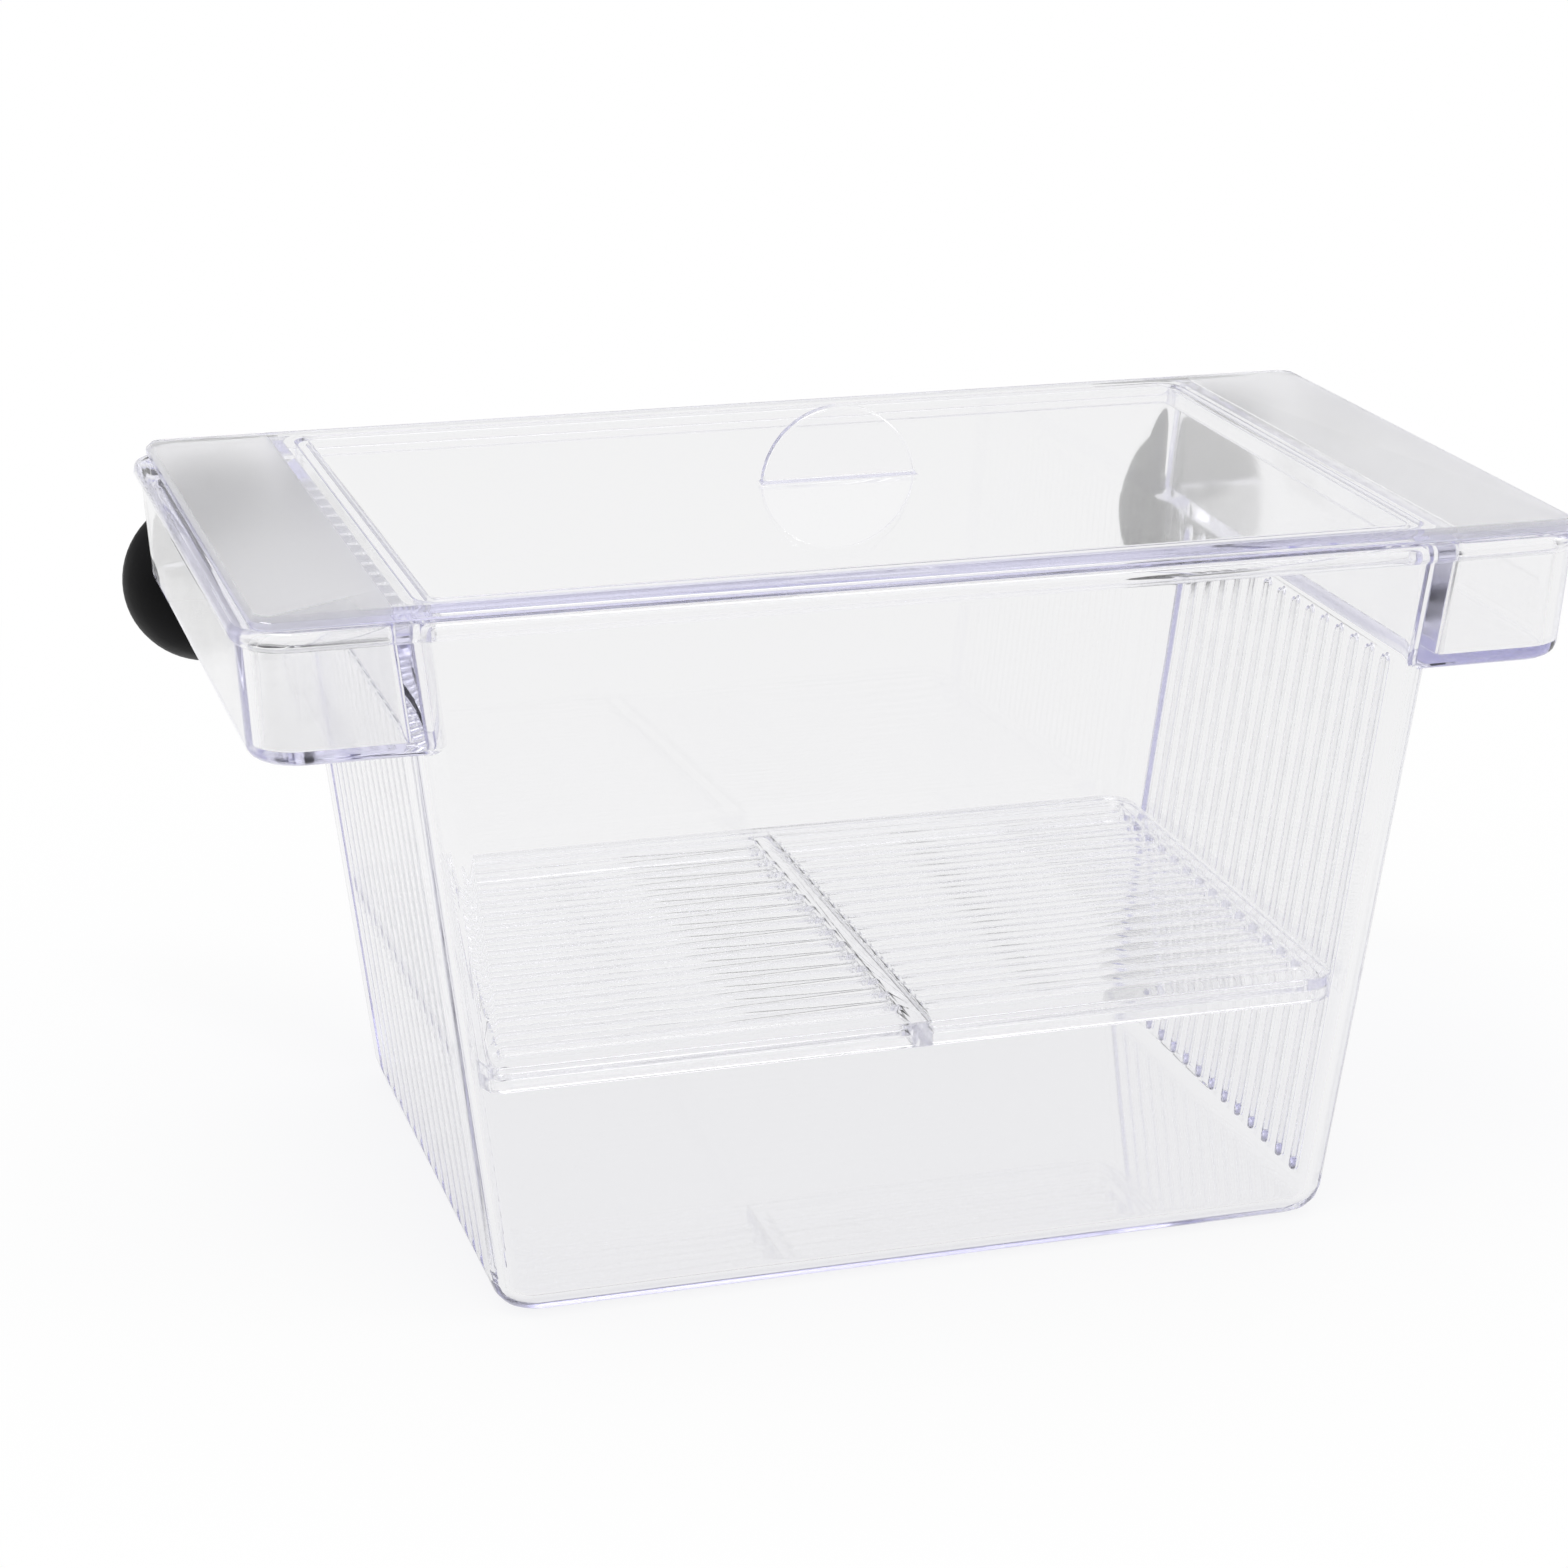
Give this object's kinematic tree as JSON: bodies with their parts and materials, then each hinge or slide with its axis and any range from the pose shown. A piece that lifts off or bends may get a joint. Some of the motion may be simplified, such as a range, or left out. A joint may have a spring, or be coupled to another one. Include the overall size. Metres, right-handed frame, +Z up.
{
  "type": "fish breeding box",
  "caption": "Clear plastic fish breeding box with a lift-off lid, a slotted floor over a fry chamber, slotted end walls, hollow float wings and black rubber suction cups",
  "frame": {"origin": "middle of the flat underside of the tank", "axes": "+Z up out of the open top, +X along the length towards the right wing, +Y towards the aquarium glass that the suction cups hold"},
  "size_m": [0.1286, 0.0759, 0.0772],
  "materials": {
    "clear_tank": "clear injection-moulded polystyrene, polished",
    "clear_lid": "clear injection-moulded polystyrene, polished",
    "clear_floor": "clear injection-moulded polystyrene, polished",
    "black_rubber": "black moulded rubber, satin"
  },
  "bodies": {
    "body": {"tank": "clear_tank"},
    "lid": {"lid": "clear_lid"},
    "floor": {"slotted_floor": "clear_floor"},
    "left_cup": {"suction_cup_left": "black_rubber"},
    "right_cup": {"suction_cup_right": "black_rubber"}
  },
  "joints": [
    {"name": "lid_lift", "type": "slide", "parent": "body", "child": "lid", "axis": [0, 0, 1], "range_m": [0, 0.04]},
    {"name": "floor_lift", "type": "slide", "parent": "body", "child": "floor", "axis": [0, 0, 1], "range_m": [0, 0.04]},
    {"name": "left_cup_turn", "type": "hinge", "parent": "body", "child": "left_cup", "pos_m": [-0.0553, 0.03292, 0.0528], "axis": [0, 1, 0], "continuous": true},
    {"name": "right_cup_turn", "type": "hinge", "parent": "body", "child": "right_cup", "pos_m": [0.0553, 0.03292, 0.0528], "axis": [0, 1, 0], "continuous": true}
  ]
}
